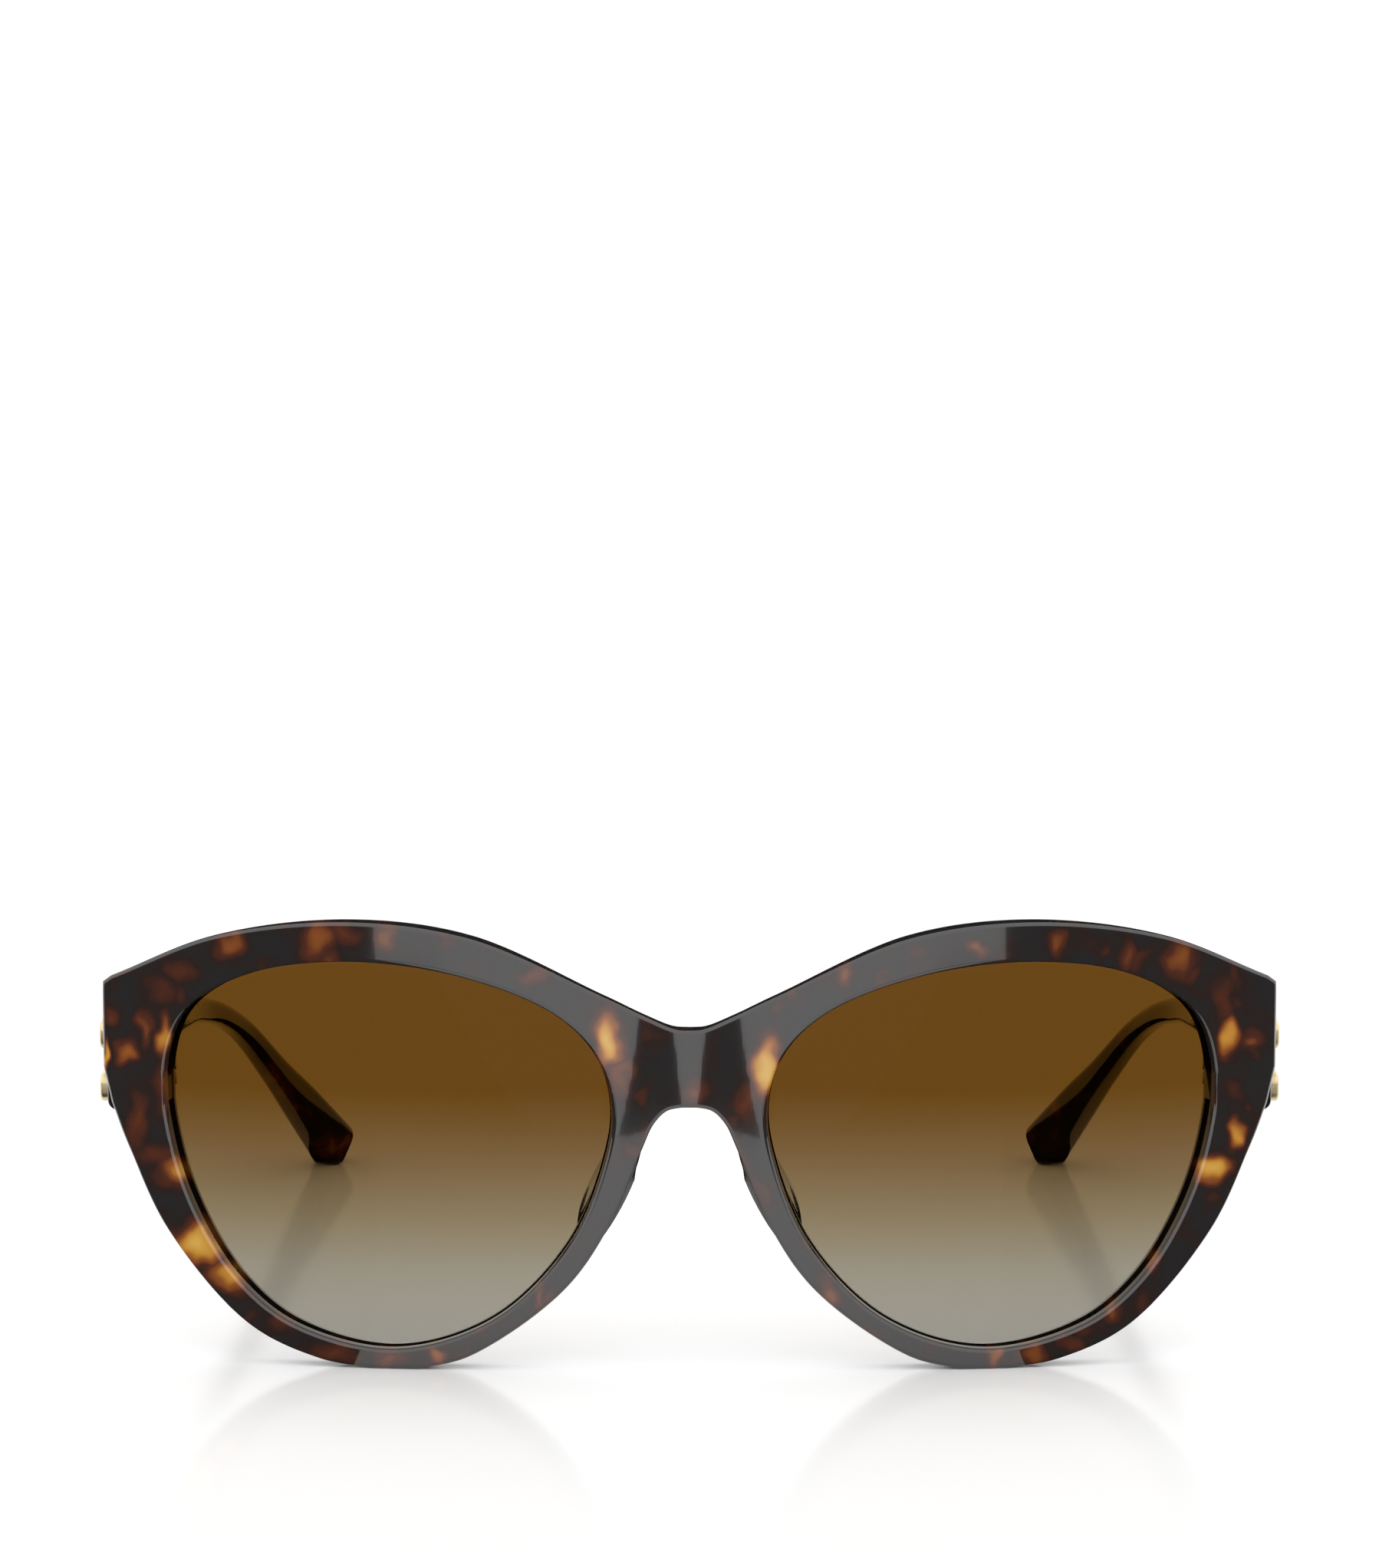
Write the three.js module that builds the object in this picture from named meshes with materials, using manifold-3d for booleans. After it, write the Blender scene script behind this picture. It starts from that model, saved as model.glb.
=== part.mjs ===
// Cat eye sunglasses in acetate, open on a flat surface. Millimetres, +Z up.
// +X is the wearer's left, -Y is the side the front faces, and the temples run back along +Y.
import * as THREE from 'three';
import { mergeVertices } from 'three/addons/utils/BufferGeometryUtils.js';
import Module from 'manifold-3d';

const wasm = await Module();
wasm.setup();

// ---------------------------------------------------------------- driving sizes
const GAP = 0.3; // room kept between pieces that meet

// Front: a curved acetate plate, its face on a wide arc over each eye
const FACE_RADIUS = 130;
const FACE_NEAREST_X = 23.3; // where each half of the face stands furthest forward
const BRIDGE_SOFTNESS = 4; // half width over which the two arcs blend
const BRIDGE_RISE = 1.7;
const BRIDGE_SPREAD = 6;
const FRONT_THICKNESS = 4.4;
const FRONT_HEIGHT = 55.8;

// Lenses: set into a groove in the plate
const LENS_THICKNESS = 1.8;
const LENS_SETBACK = 1.6;
const GROOVE_DEPTH = 0.9;

// End blocks: what the front grows behind its corners to reach the temples
const JOINT_DEPTH = 15.2; // flat back face of the end blocks
const BLOCK_INNER_X = 67.4;
const BLOCK_OUTER_X = 72.8;
const BLOCK_BOTTOM = 29.5;
const BLOCK_TOP = 46.4;

// Hinges: five barrels on an upright screw
const HINGE_X = 65.6;
const HINGE_Y = JOINT_DEPTH + GAP / 2;
const HINGE_Z = 37.6;
const BARREL_RADIUS = 1.45;
const BARREL_HEIGHT = 1.5;
const BARREL_COUNT = 5;
const BORE_RADIUS = 0.75;
const SCREW_RADIUS = 0.6;
const SCREW_HEAD_RADIUS = 0.95;
const SCREW_HEAD_HEIGHT = 0.6;
const LEAF_THICKNESS = 1.1;
const FRONT_LEAF_REACH = 5.2; // how far the front leaf runs out from the screw
const TEMPLE_LEAF_REACH = 13.4; // how far the temple leaf runs back from the joint

// Temples
const TEMPLE_INNER_X = 68.3;
const TEMPLE_FRONT = JOINT_DEPTH + GAP;
const WIRE_RADIUS = 0.6;
const WIRE_CHANNEL_RADIUS = 0.88;

// Plain bars that dress the outer face of each temple
const TRIM_LENGTH = 12;
const TRIM_HEIGHT = 3.5;
const TRIM_PROUD = 0.9;
const TRIM_FRONT = 18.6;
const TRIM_BOTTOMS = { upper: 37, lower: 30.3 };
const POST_RADIUS = 0.6;
const POST_LENGTH = 1.5;

// ---------------------------------------------------------------- outlines, right half as [x, z]
const BROW = [
  [0, 42.6], [1.6, 42.72], [5.2, 44.15], [10.4, 46.6], [26.8, 53.9], [42.5, FRONT_HEIGHT], [58.7, 53.6],
  [71.9, 47.9],
];
const CORNER_SIDE = [[72.9, 47.1], [72.85, 36.4]];
const CHEEK = [[71.8, 31.9], [69.7, 26.3], [64.9, 16.3], [54.9, 5.1], [46, 1.05], [39.5, 0]];
const NASAL = [
  [33.5, 0], [27.1, 1.7], [15.5, 9.9], [9.9, 17.9], [5.8, 27.6], [4.4, 30.7], [2.8, 32.4], [1.2, 32.85],
  [0, 32.9],
];
const APERTURE = [
  [9.5, 32.5], [11.5, 39.2], [16.7, 44.5], [28.5, 49.2], [42.5, 50.8], [54.6, 48.9], [62.7, 43.8],
  [65.2, 36.5], [64.1, 26.6], [60.8, 17.8], [55.9, 10.5], [49.1, 5.3], [36.5, 2.5], [24.2, 6.3],
  [15.0, 15.3], [10.7, 25.0],
];

// Temple stations: centre x, centre y, centre z, height, thickness
const TEMPLE_STATIONS = [
  [70.55, 8, 38.6, 17.4, 4.5],
  [70.55, 15.5, 37.9, 16.2, 4.5],
  [70.4, 42, 35.1, 12.2, 4.3],
  [69.7, 70, 32.3, 6.8, 3.9],
  [68.8, 86, 30.5, 4.8, 3.6],
  [67.3, 99, 28.8, 3.7, 3.4],
  [64.6, 109.5, 26.3, 3.2, 3.1],
  [61.9, 118.8, 22.2, 3.3, 3.2],
  [58.1, 127, 15.4, 3.9, 3.7],
  [55.1, 133, 10.1, 5.2, 4.1],
  [50.0, 141.6, 1.2, 7.0, 4.6],
];
const TIP_ROUNDING = 0.014; // share of the temple's run over which its end is rounded
const TIP_REST = 0.05; // height at which the tip is cut level, so that it rests on a table

// ---------------------------------------------------------------- curves and solids
const asVector2 = (pairs) => pairs.map(([x, z]) => new THREE.Vector2(x, z));

function curveThrough(pairs, steps, closed = false) {
  const points = pairs.map(([x, z]) => new THREE.Vector3(x, z, 0));
  const sampled = new THREE.CatmullRomCurve3(points, closed).getPoints(steps);
  if (closed) sampled.pop();
  return sampled.map((point) => [point.x, point.y]);
}

function grow(pairs, amount) {
  return pairs.map(([x, z], i) => {
    const before = pairs[(i + pairs.length - 1) % pairs.length];
    const after = pairs[(i + 1) % pairs.length];
    const along = new THREE.Vector2(after[0] - before[0], after[1] - before[1]).normalize();
    return [x + along.y * amount, z - along.x * amount];
  });
}

function counterClockwise(pairs) {
  return THREE.ShapeUtils.area(asVector2(pairs)) > 0 ? pairs : [...pairs].reverse();
}

function solidFrom(geometry) {
  const bare = geometry.clone();
  bare.deleteAttribute('normal');
  bare.deleteAttribute('uv');
  const merged = mergeVertices(bare, 1e-4);
  const vertProperties = new Float32Array(merged.attributes.position.array);
  const triVerts = new Uint32Array(merged.index.array);
  return new wasm.Manifold(new wasm.Mesh({ numProp: 3, vertProperties, triVerts }));
}

function geometryFrom(solid) {
  const { vertProperties, triVerts } = solid.getMesh();
  const geometry = new THREE.BufferGeometry();
  geometry.setAttribute('position', new THREE.BufferAttribute(new Float32Array(vertProperties), 3));
  geometry.setIndex(new THREE.BufferAttribute(new Uint32Array(triVerts), 1));
  geometry.computeVertexNormals();
  return geometry;
}

function flipFaces(geometry) {
  const { array } = geometry.index;
  for (let i = 0; i < array.length; i += 3) [array[i], array[i + 1]] = [array[i + 1], array[i]];
  return geometry;
}

function mirrored(geometry) {
  return flipFaces(geometry.clone().scale(-1, 1, 1));
}

// Closed skin over rings of equal count, with a flat cap at each end.
function loft(rings) {
  const count = rings[0].length;
  const positions = rings.flat().flatMap((point) => [point.x, point.y, point.z]);
  const index = [];
  for (let ring = 0; ring < rings.length - 1; ring += 1) {
    for (let i = 0; i < count; i += 1) {
      const a = ring * count + i;
      const b = ring * count + ((i + 1) % count);
      index.push(a, b, b + count, a, b + count, a + count);
    }
  }
  const last = (rings.length - 1) * count;
  for (let i = 1; i < count - 1; i += 1) {
    index.push(0, i + 1, i);
    index.push(last, last + i, last + i + 1);
  }
  const geometry = new THREE.BufferGeometry();
  geometry.setAttribute('position', new THREE.Float32BufferAttribute(positions, 3));
  geometry.setIndex(index);
  return geometry;
}

function box(low, high) {
  const size = high.map((value, i) => value - low[i]);
  const geometry = new THREE.BoxGeometry(...size);
  return solidFrom(geometry.translate(...low.map((value, i) => value + size[i] / 2)));
}

function uprightRod(radius, bottom, top, x, y, sides = 20) {
  const geometry = new THREE.CylinderGeometry(radius, radius, top - bottom, sides);
  return solidFrom(geometry.rotateX(Math.PI / 2).translate(x, y, (top + bottom) / 2));
}

function crossRod(radius, start, end, y, z) {
  const geometry = new THREE.CylinderGeometry(radius, radius, end - start, 12);
  return solidFrom(geometry.rotateZ(Math.PI / 2).translate((start + end) / 2, y, z));
}

function joined(solids) {
  return solids.reduce((whole, solid) => whole.add(solid));
}

// ---------------------------------------------------------------- the curved face
function wrapDepth(x) {
  const fromNearest = Math.hypot(x, BRIDGE_SOFTNESS) - FACE_NEAREST_X;
  return FACE_RADIUS - Math.sqrt(FACE_RADIUS ** 2 - fromNearest ** 2);
}

function faceDepth(x) {
  return wrapDepth(x) - BRIDGE_RISE * Math.exp(-((x / BRIDGE_SPREAD) ** 2));
}

function wrapLean(x) {
  const step = 0.01;
  return Math.atan((wrapDepth(x + step) - wrapDepth(x - step)) / (2 * step));
}

// A sheet that follows the face, from one depth behind it to another.
function facePlate(fromX, toX, near, far, steps) {
  const xs = Array.from({ length: steps + 1 }, (_, i) => fromX + ((toX - fromX) * i) / steps);
  const front = xs.map((x) => [x, faceDepth(x) + near]);
  const back = xs.reverse().map((x) => [x, faceDepth(x) + far]);
  const shape = new THREE.Shape(asVector2([...front, ...back]));
  const tall = new THREE.ExtrudeGeometry(shape, { depth: FRONT_HEIGHT + 4, bevelEnabled: false });
  return solidFrom(tall.translate(0, 0, -2));
}

// A plug of the given outline, its walls square to the curved face.
function squarePlug(pairs, near, far) {
  const outline = counterClockwise(pairs);
  const ringAt = (depth) => outline.map(([x, z]) => {
    const lean = wrapLean(x);
    return [x - Math.sin(lean) * depth, wrapDepth(x) + Math.cos(lean) * depth, z];
  });
  const count = outline.length;
  const positions = [...ringAt(near), ...ringAt(far)].flat();
  const index = [];
  for (const [a, b, c] of THREE.ShapeUtils.triangulateShape(asVector2(outline), [])) {
    index.push(a, b, c, a + count, c + count, b + count);
  }
  for (let i = 0; i < count; i += 1) {
    const next = (i + 1) % count;
    index.push(i, i + count, next + count, i, next + count, next);
  }
  const geometry = new THREE.BufferGeometry();
  geometry.setAttribute('position', new THREE.Float32BufferAttribute(positions, 3));
  geometry.setIndex(index);
  return solidFrom(geometry);
}

function frontOutline() {
  const half = [
    ...curveThrough(BROW, 35),
    ...CORNER_SIDE,
    ...curveThrough(CHEEK, 22),
    ...curveThrough(NASAL, 32),
  ];
  const otherHalf = half.slice(1, -1).reverse().map(([x, z]) => [-x, z]);
  return [...half, ...otherHalf];
}

const apertureOutline = () => counterClockwise(curveThrough(APERTURE, 48, true));

// ---------------------------------------------------------------- front
function endBlock() {
  const plan = new THREE.Shape(asVector2([
    [BLOCK_INNER_X, 10], [BLOCK_OUTER_X, 12.4], [BLOCK_OUTER_X, JOINT_DEPTH], [BLOCK_INNER_X, JOINT_DEPTH],
  ]));
  const height = BLOCK_TOP - BLOCK_BOTTOM;
  const tall = new THREE.ExtrudeGeometry(plan, { depth: height, bevelEnabled: false });
  const block = solidFrom(tall.translate(0, 0, BLOCK_BOTTOM));
  const profile = new THREE.Shape(asVector2(frontOutline()));
  const deep = new THREE.ExtrudeGeometry(profile, { depth: 30, bevelEnabled: false });
  return block.intersect(solidFrom(deep.rotateX(Math.PI / 2).translate(0, 25, 0)));
}

function frontLeafSlot() {
  const { low, high } = frontLeafPlate();
  return box(
    [BLOCK_INNER_X - 1, low[1] - GAP, low[2] - GAP],
    [high[0] + GAP, high[1] + GAP, high[2] + GAP],
  );
}

function onBothSides(solid) {
  return [solid, solidFrom(mirrored(geometryFrom(solid)))];
}

function frontFrame() {
  const aperture = apertureOutline();
  const grooveFront = LENS_SETBACK - GAP;
  const grooveBack = LENS_SETBACK + LENS_THICKNESS + GAP;
  const groove = facePlate(6, 68, grooveFront, grooveBack, 16)
    .intersect(squarePlug(grow(aperture, GROOVE_DEPTH + GAP), -6, 12));
  const hole = squarePlug(aperture, -6, 14);
  const plate = facePlate(-74, 74, 0, FRONT_THICKNESS, 40)
    .intersect(squarePlug(frontOutline(), -6, 12));
  const body = joined([plate, ...onBothSides(endBlock())]);
  return [...onBothSides(groove), ...onBothSides(hole), ...onBothSides(frontLeafSlot())]
    .reduce((left, cutter) => left.subtract(cutter), body);
}

function lens() {
  return facePlate(6, 68, LENS_SETBACK, LENS_SETBACK + LENS_THICKNESS, 16)
    .intersect(squarePlug(grow(apertureOutline(), GROOVE_DEPTH), -6, 12));
}

// A leaf-shaped pad that leans outwards as it runs back from the nasal rim.
function nosePad() {
  const slant = THREE.MathUtils.degToRad(26);
  const along = new THREE.Vector2(Math.sin(slant), -Math.cos(slant));
  const across = new THREE.Vector2(Math.cos(slant), Math.sin(slant));
  const middle = new THREE.Vector2(9.9, 21.6);
  // depth, half width, half length, shift outwards
  const sections = [
    [3, 1.9, 8.4, 0], [6.2, 1.9, 8.2, 0.1], [8.4, 1.6, 7.4, 0.6],
    [10.2, 1.2, 6.2, 1.2], [11.4, 0.7, 4.6, 1.6], [11.8, 0.25, 3.2, 1.8],
  ];
  const rings = sections.map(([depth, halfWidth, halfLength, shift]) => (
    Array.from({ length: 18 }, (_, i) => {
      const turn = (-i / 18) * Math.PI * 2;
      const spot = middle.clone()
        .addScaledVector(along, halfLength * Math.cos(turn))
        .addScaledVector(across, shift + halfWidth * Math.sin(turn));
      return new THREE.Vector3(spot.x, depth, spot.y);
    })
  ));
  return solidFrom(loft(rings)).subtract(facePlate(0, 30, -3, FRONT_THICKNESS + GAP, 16));
}

// ---------------------------------------------------------------- hinge
const BARREL_STEP = BARREL_HEIGHT + GAP;
const KNUCKLE_HEIGHT = BARREL_COUNT * BARREL_STEP - GAP;
const HINGE_BOTTOM = HINGE_Z - KNUCKLE_HEIGHT / 2;
const HINGE_TOP = HINGE_Z + KNUCKLE_HEIGHT / 2;

function frontLeafPlate() {
  const back = HINGE_Y - BARREL_RADIUS - GAP - 0.1;
  return {
    low: [HINGE_X - 1.2, back - LEAF_THICKNESS, HINGE_BOTTOM],
    high: [HINGE_X + FRONT_LEAF_REACH, back, HINGE_TOP],
  };
}

function templeLeafPlate() {
  return {
    low: [TEMPLE_INNER_X, TEMPLE_FRONT + 1.4, HINGE_BOTTOM - 0.6],
    high: [TEMPLE_INNER_X + LEAF_THICKNESS, TEMPLE_FRONT + TEMPLE_LEAF_REACH, HINGE_TOP + 0.6],
  };
}

function barrels(firstLevel) {
  const solids = [];
  for (let level = firstLevel; level < BARREL_COUNT; level += 2) {
    const bottom = HINGE_BOTTOM + level * BARREL_STEP;
    solids.push({ bottom, top: bottom + BARREL_HEIGHT });
  }
  return solids;
}

function hingeFrontLeaf() {
  const plate = frontLeafPlate();
  const knuckles = barrels(0).map(({ bottom, top }) => joined([
    uprightRod(BARREL_RADIUS, bottom, top, HINGE_X, HINGE_Y),
    box([HINGE_X - 1.2, plate.high[1] - 0.5, bottom], [HINGE_X + 1.2, HINGE_Y, top]),
  ]));
  return joined([box(plate.low, plate.high), ...knuckles])
    .subtract(uprightRod(BORE_RADIUS, HINGE_BOTTOM - 1, HINGE_TOP + 1, HINGE_X, HINGE_Y))
    .subtract(screwSink());
}

function hingeTempleLeaf() {
  const plate = templeLeafPlate();
  const knuckles = barrels(1).map(({ bottom, top }) => joined([
    uprightRod(BARREL_RADIUS, bottom, top, HINGE_X, HINGE_Y),
    box([HINGE_X, HINGE_Y + 0.25, bottom], [TEMPLE_INNER_X + 0.4, HINGE_Y + BARREL_RADIUS, top]),
    box([TEMPLE_INNER_X - 0.8, HINGE_Y + 0.25, bottom], [TEMPLE_INNER_X + 0.4, plate.low[1] + 1, top]),
  ]));
  return joined([box(plate.low, plate.high), ...knuckles])
    .subtract(uprightRod(BORE_RADIUS, HINGE_BOTTOM - 1, HINGE_TOP + 1, HINGE_X, HINGE_Y));
}

function screwSink() {
  const bottom = HINGE_TOP - SCREW_HEAD_HEIGHT - 0.2;
  return uprightRod(SCREW_HEAD_RADIUS + 0.2, bottom, HINGE_TOP + 1, HINGE_X, HINGE_Y);
}

function hingeScrew() {
  const headBottom = HINGE_TOP - SCREW_HEAD_HEIGHT;
  const shank = uprightRod(SCREW_RADIUS, HINGE_BOTTOM + 0.2, HINGE_TOP - 0.1, HINGE_X, HINGE_Y);
  const head = uprightRod(SCREW_HEAD_RADIUS, headBottom, HINGE_TOP, HINGE_X, HINGE_Y);
  const slot = box(
    [HINGE_X - 2, HINGE_Y - 0.13, HINGE_TOP - 0.25],
    [HINGE_X + 2, HINGE_Y + 0.13, HINGE_TOP + 1],
  );
  return shank.add(head).subtract(slot);
}

// ---------------------------------------------------------------- temple
const stationCurve = new THREE.CatmullRomCurve3(
  TEMPLE_STATIONS.map(([x, y, z]) => new THREE.Vector3(x, y, z)),
);
const sizeCurve = new THREE.CatmullRomCurve3(
  TEMPLE_STATIONS.map(([, y, , height, thickness]) => new THREE.Vector3(height, thickness, y)),
);

// Rounded-rectangle section of the temple, square to its run.
function templeSection(t) {
  const centre = stationCurve.getPoint(t);
  const run = stationCurve.getTangent(t);
  const across = new THREE.Vector3().crossVectors(run, new THREE.Vector3(0, 0, 1)).normalize();
  const upward = new THREE.Vector3().crossVectors(across, run).normalize();
  const size = sizeCurve.getPoint(t);
  const intoTip = Math.max(0, (t - 1 + TIP_ROUNDING) / TIP_ROUNDING);
  const closing = Math.sqrt(Math.max(0.04, 1 - intoTip ** 2));
  const halfHeight = (size.x / 2) * closing;
  const halfThickness = (size.y / 2) * (0.35 + 0.65 * closing);
  const corner = Math.min(1.1, halfHeight * 0.6, halfThickness * 0.6);
  const ring = [];
  for (const [sideX, sideZ, start] of [[1, 1, 0], [-1, 1, 90], [-1, -1, 180], [1, -1, 270]]) {
    for (const turn of [0, 45, 90]) {
      const angle = THREE.MathUtils.degToRad(start + turn);
      const x = sideX * (halfThickness - corner) + corner * Math.cos(angle);
      const z = sideZ * (halfHeight - corner) + corner * Math.sin(angle);
      ring.push(centre.clone().addScaledVector(across, x).addScaledVector(upward, z));
    }
  }
  return ring.reverse();
}

function templeBlank() {
  const steps = 30;
  const bodyEnd = 1 - TIP_ROUNDING;
  const along = Array.from({ length: steps + 1 }, (_, i) => (bodyEnd * i) / steps);
  const tip = [0.4, 0.7, 0.9, 1].map((share) => bodyEnd + TIP_ROUNDING * share);
  const blank = solidFrom(loft([...along, ...tip].map(templeSection)));
  return blank
    .subtract(box([50, 0, -10], [90, TEMPLE_FRONT, 80]))
    .subtract(box([30, 120, -10], [80, 160, TIP_REST]));
}

const sectionOfWire = (radius) => new THREE.Shape(
  Array.from({ length: 8 }, (_, i) => {
    const angle = (i / 8) * Math.PI * 2;
    return new THREE.Vector2(radius * Math.cos(angle), radius * Math.sin(angle));
  }),
);

function coreRod(radius, start, end) {
  const points = Array.from({ length: 15 }, (_, i) => (
    stationCurve.getPoint(start + ((end - start) * i) / 14)
  ));
  const extrudePath = new THREE.CatmullRomCurve3(points);
  return solidFrom(new THREE.ExtrudeGeometry(sectionOfWire(radius), { steps: 24, extrudePath }));
}

const WIRE_START = 0.171; // shares of the temple's run
const WIRE_END = 0.9;

function trimBar(which) {
  const low = TRIM_BOTTOMS[which];
  const radius = 1.2;
  const outline = new THREE.Shape();
  outline.absarc(TRIM_FRONT + radius, low + radius, radius, Math.PI, Math.PI * 1.5);
  outline.absarc(TRIM_FRONT + TRIM_LENGTH - radius, low + radius, radius, -Math.PI / 2, 0);
  outline.absarc(TRIM_FRONT + TRIM_LENGTH - radius, low + TRIM_HEIGHT - radius, radius, 0, Math.PI / 2);
  outline.absarc(TRIM_FRONT + radius, low + TRIM_HEIGHT - radius, radius, Math.PI / 2, Math.PI);
  const settings = { depth: TRIM_PROUD - 0.45, bevelThickness: 0.45, bevelSize: 0.45, bevelOffset: -0.45,
    bevelSegments: 2, curveSegments: 3 };
  const domed = new THREE.ExtrudeGeometry(outline, settings);
  // the outline lies in y and z, and the bar grows outwards along x
  const upright = new THREE.Matrix4().makeBasis(
    new THREE.Vector3(0, 1, 0), new THREE.Vector3(0, 0, 1), new THREE.Vector3(1, 0, 0),
  );
  const seat = BLOCK_OUTER_X + GAP;
  return solidFrom(domed.applyMatrix4(upright).translate(seat, 0, 0))
    .subtract(box([seat - 2, 0, 0], [seat, 60, 60]));
}

function postPlaces(which) {
  const z = TRIM_BOTTOMS[which] + TRIM_HEIGHT / 2;
  return [TRIM_FRONT + 2.6, TRIM_FRONT + 8.2].map((y) => ({ y, z }));
}

function trim(which) {
  const seat = BLOCK_OUTER_X + GAP;
  const posts = postPlaces(which).map(({ y, z }) => (
    crossRod(POST_RADIUS, seat - GAP - POST_LENGTH, seat + 0.2, y, z)
  ));
  return joined([trimBar(which), ...posts]);
}

function temple() {
  const plate = templeLeafPlate();
  const leafSlot = box(
    [plate.low[0] - 1, TEMPLE_FRONT - 1, plate.low[2] - GAP],
    [plate.high[0] + GAP, plate.high[1] + GAP, plate.high[2] + GAP],
  );
  const holes = Object.keys(TRIM_BOTTOMS).flatMap(postPlaces).map(({ y, z }) => (
    crossRod(POST_RADIUS + GAP, BLOCK_OUTER_X - POST_LENGTH - GAP, BLOCK_OUTER_X + 2, y, z)
  ));
  const channel = coreRod(WIRE_CHANNEL_RADIUS, WIRE_START - 0.05, WIRE_END + 0.006);
  return [leafSlot, channel, ...holes].reduce((left, cutter) => left.subtract(cutter), templeBlank());
}

// ---------------------------------------------------------------- materials and assembly
const finish = (colour, roughness, metalness) => (
  new THREE.MeshStandardMaterial({ color: colour, roughness, metalness })
);
const acetate = finish('#2b2320', 0.15, 0);
const tintedLens = finish('#6b4a1d', 0.05, 0);
const gold = finish('#dcc89a', 0.25, 1);
const steel = finish('#b9bbbd', 0.35, 1);

const sunglasses = new THREE.Group();

function place(name, geometry, material) {
  const mesh = new THREE.Mesh(geometry, material);
  mesh.name = name;
  sunglasses.add(mesh);
}

function placePair(name, solid, material) {
  const left = geometryFrom(solid);
  place(`${name}_left`, left, material);
  place(`${name}_right`, mirrored(left), material);
}

place('front_frame', geometryFrom(frontFrame()), acetate);
placePair('lens', lens(), tintedLens);
placePair('nose_pad', nosePad(), acetate);
placePair('hinge_front_leaf', hingeFrontLeaf(), steel);
placePair('hinge_temple_leaf', hingeTempleLeaf(), steel);
placePair('hinge_screw', hingeScrew(), steel);
placePair('temple', temple(), acetate);
placePair('core_wire', coreRod(WIRE_RADIUS, WIRE_START, WIRE_END), steel);
for (const which of Object.keys(TRIM_BOTTOMS)) placePair(`trim_${which}`, trim(which), gold);

// the origin lies on the ground under the middle of the whole
const extent = new THREE.Box3().setFromObject(sunglasses);
sunglasses.position.y = -(extent.min.y + extent.max.y) / 2;

export default sunglasses;
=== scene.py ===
import math

import bmesh
import bpy
from mathutils import Matrix, Vector


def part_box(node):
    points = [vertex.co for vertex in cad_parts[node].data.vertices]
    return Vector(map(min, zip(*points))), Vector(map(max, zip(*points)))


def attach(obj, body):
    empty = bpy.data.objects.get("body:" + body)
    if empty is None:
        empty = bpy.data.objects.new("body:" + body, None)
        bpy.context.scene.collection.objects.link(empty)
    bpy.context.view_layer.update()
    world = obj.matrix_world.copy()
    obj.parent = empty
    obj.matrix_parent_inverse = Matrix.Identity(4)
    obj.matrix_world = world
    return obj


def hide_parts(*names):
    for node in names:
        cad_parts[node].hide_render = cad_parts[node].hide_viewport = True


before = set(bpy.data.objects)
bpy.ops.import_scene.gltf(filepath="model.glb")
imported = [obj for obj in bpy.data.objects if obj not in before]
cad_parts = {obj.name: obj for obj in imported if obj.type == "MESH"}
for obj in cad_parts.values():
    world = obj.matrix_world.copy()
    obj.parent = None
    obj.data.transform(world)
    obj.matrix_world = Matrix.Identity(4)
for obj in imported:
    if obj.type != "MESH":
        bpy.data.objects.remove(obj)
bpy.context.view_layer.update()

# ------------------------------------------------------------------ front
# The front is one plate of cellulose acetate, milled from a sheet with both openings, a groove round
# each for its lens, and blocks behind its outer corners for the hinges. It is bent over a warm form
# and tumbled until every edge is soft. All pieces are drawn in millimetres from the face.
PLATE_THICKNESS = 4.4
EDGE_RADIUS = 0.45
FACE_RADIUS = 130
FACE_NEAREST_X = 23.3
BRIDGE_SOFTNESS = 4
BRIDGE_RISE = 1.7
BRIDGE_SPREAD = 6
LENS_FRONT = 1.6
LENS_BACK = 3.4
GROOVE_DEPTH = 0.95
JOINT_DEPTH = 15.2
RIM_SEGMENTS = 4
WALL_REACH = 1.2  # a wall of an opening lies within this of the opening's edge
FLAT_MARGIN = 0.06  # strip beside the rims that keeps the flat faces' shading flat
BEND_CUTS_END = 72.5
BEND_CUT_WIDE = 1
BEND_CUT_NARROW = 0.5
BRIDGE_ZONE = 14  # half width over which the cuts are narrow
# where the walls turn from square to the curved face to straight back, for the hinge blocks
BLOCK_FADE_OUT = (66, 70)
BLOCK_FADE_LOW = (24, 30)
BLOCK_FADE_HIGH = (46, 48)
# the back edge isn't rounded here, because the hinge blocks grow out of it
UNROUNDED_X = 68.5
UNROUNDED_Z = (26, 47)
RIM_FOOT_END = 39.5
BRIDGE_FOOT = 32.9
BRIDGE_HEIGHT = 9.7
EYE_CENTRE = (38, 34.5)
BROW = [
    (0, 42.6), (1.6, 42.72), (5.2, 44.15), (10.4, 46.6), (26.8, 53.9), (42.5, 55.8), (58.7, 53.6),
    (71.9, 47.9),
]
CORNER_SIDE = [(72.9, 47.1), (72.85, 36.4)]
CHEEK = [(71.8, 31.9), (69.7, 26.3), (64.9, 16.3), (54.9, 5.1), (46, 1.05), (39.5, 0)]
NASAL = [
    (33.5, 0), (27.1, 1.7), (15.5, 9.9), (9.9, 17.9), (5.8, 27.6), (4.4, 30.7), (2.8, 32.4), (1.2, 32.85),
    (0, 32.9),
]
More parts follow.
